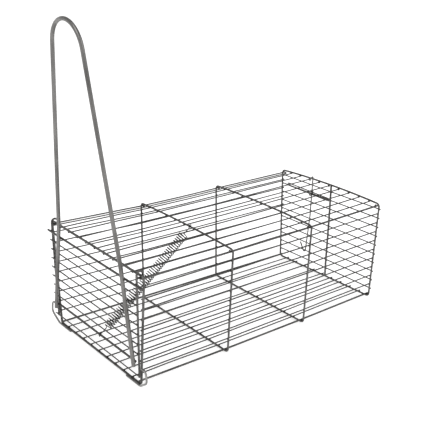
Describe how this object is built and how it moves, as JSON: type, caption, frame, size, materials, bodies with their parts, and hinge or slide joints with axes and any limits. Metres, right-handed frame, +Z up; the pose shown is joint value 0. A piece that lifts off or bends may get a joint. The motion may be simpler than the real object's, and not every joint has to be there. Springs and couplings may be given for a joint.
{
  "type": "live catch trap",
  "caption": "Welded wire cage trap with a sprung hinged door, a long lever handle on the door and a bait hook that hangs from a sliding loop on the roof.",
  "frame": {"origin": "on the floor, under the middle of the whole trap's bounding box with its door shut", "axes": "+X from the door to the rear, +Y to the left when looking from the door to the rear, +Z up"},
  "size_m": [0.3064, 0.1637, 0.2998],
  "materials": {
    "cage_wire": "satin",
    "mesh_wire": "satin",
    "bright_wire": "satin",
    "spring_wire": "satin"
  },
  "bodies": {
    "cage": {"front_frame": "cage_wire", "second_frame": "cage_wire", "third_frame": "cage_wire", "rear_frame": "cage_wire", "left_top_rail": "cage_wire", "right_top_rail": "cage_wire", "left_bottom_rail": "cage_wire", "right_bottom_rail": "cage_wire", "roof_wires": "mesh_wire", "floor_wires": "mesh_wire", "left_side_wires": "mesh_wire", "right_side_wires": "mesh_wire", "rear_wires": "mesh_wire", "rear_brace": "cage_wire", "left_corner_catch": "bright_wire", "right_corner_catch": "bright_wire"},
    "trigger": {"trigger_loop": "cage_wire"},
    "hook": {"bait_hook": "bright_wire"},
    "door": {"left_door_post": "cage_wire", "right_door_post": "cage_wire", "door_top_rod": "cage_wire", "door_lower_bar": "cage_wire", "door_wires": "mesh_wire", "lever_handle": "bright_wire"},
    "spring": {"spring_coil": "spring_wire", "spring_frame_hook": "spring_wire"},
    "spring_end": {"spring_door_hook": "spring_wire"}
  },
  "joints": [
    {"name": "door_swing", "type": "hinge", "parent": "cage", "child": "door", "pos_m": [-0.12898, 0, 0.1023], "axis": [0, 1, 0], "range_deg": [0, 94], "stiffness_Nm_per_rad": 0.01, "springref_deg": -171.89},
    {"name": "trigger_slide", "type": "slide", "parent": "cage", "child": "trigger", "axis": [1, 0, 0], "range_m": [-0.05, 0]},
    {"name": "hook_swing", "type": "hinge", "parent": "trigger", "child": "hook", "pos_m": [0.12122, 0, 0.1007], "axis": [0, 1, 0], "range_deg": [-10, 35]},
    {"name": "spring_swing", "type": "hinge", "parent": "cage", "child": "spring", "pos_m": [-0.03564, 0, 0.1023], "axis": [0, 1, 0], "range_deg": [0, 42.19]},
    {"name": "spring_stretch", "type": "slide", "parent": "spring", "child": "spring_end", "axis": [-0.7755, 0, -0.6313], "range_m": [0, 0.0471], "deforming": ["spring_coil", "spring_door_hook"]}
  ],
  "couplings": [
    {"joint": "spring_swing", "follows": "door_swing", "ratio": 0.44867},
    {"joint": "spring_stretch", "follows": "door_swing", "m_per_rad": 0.028678}
  ]
}
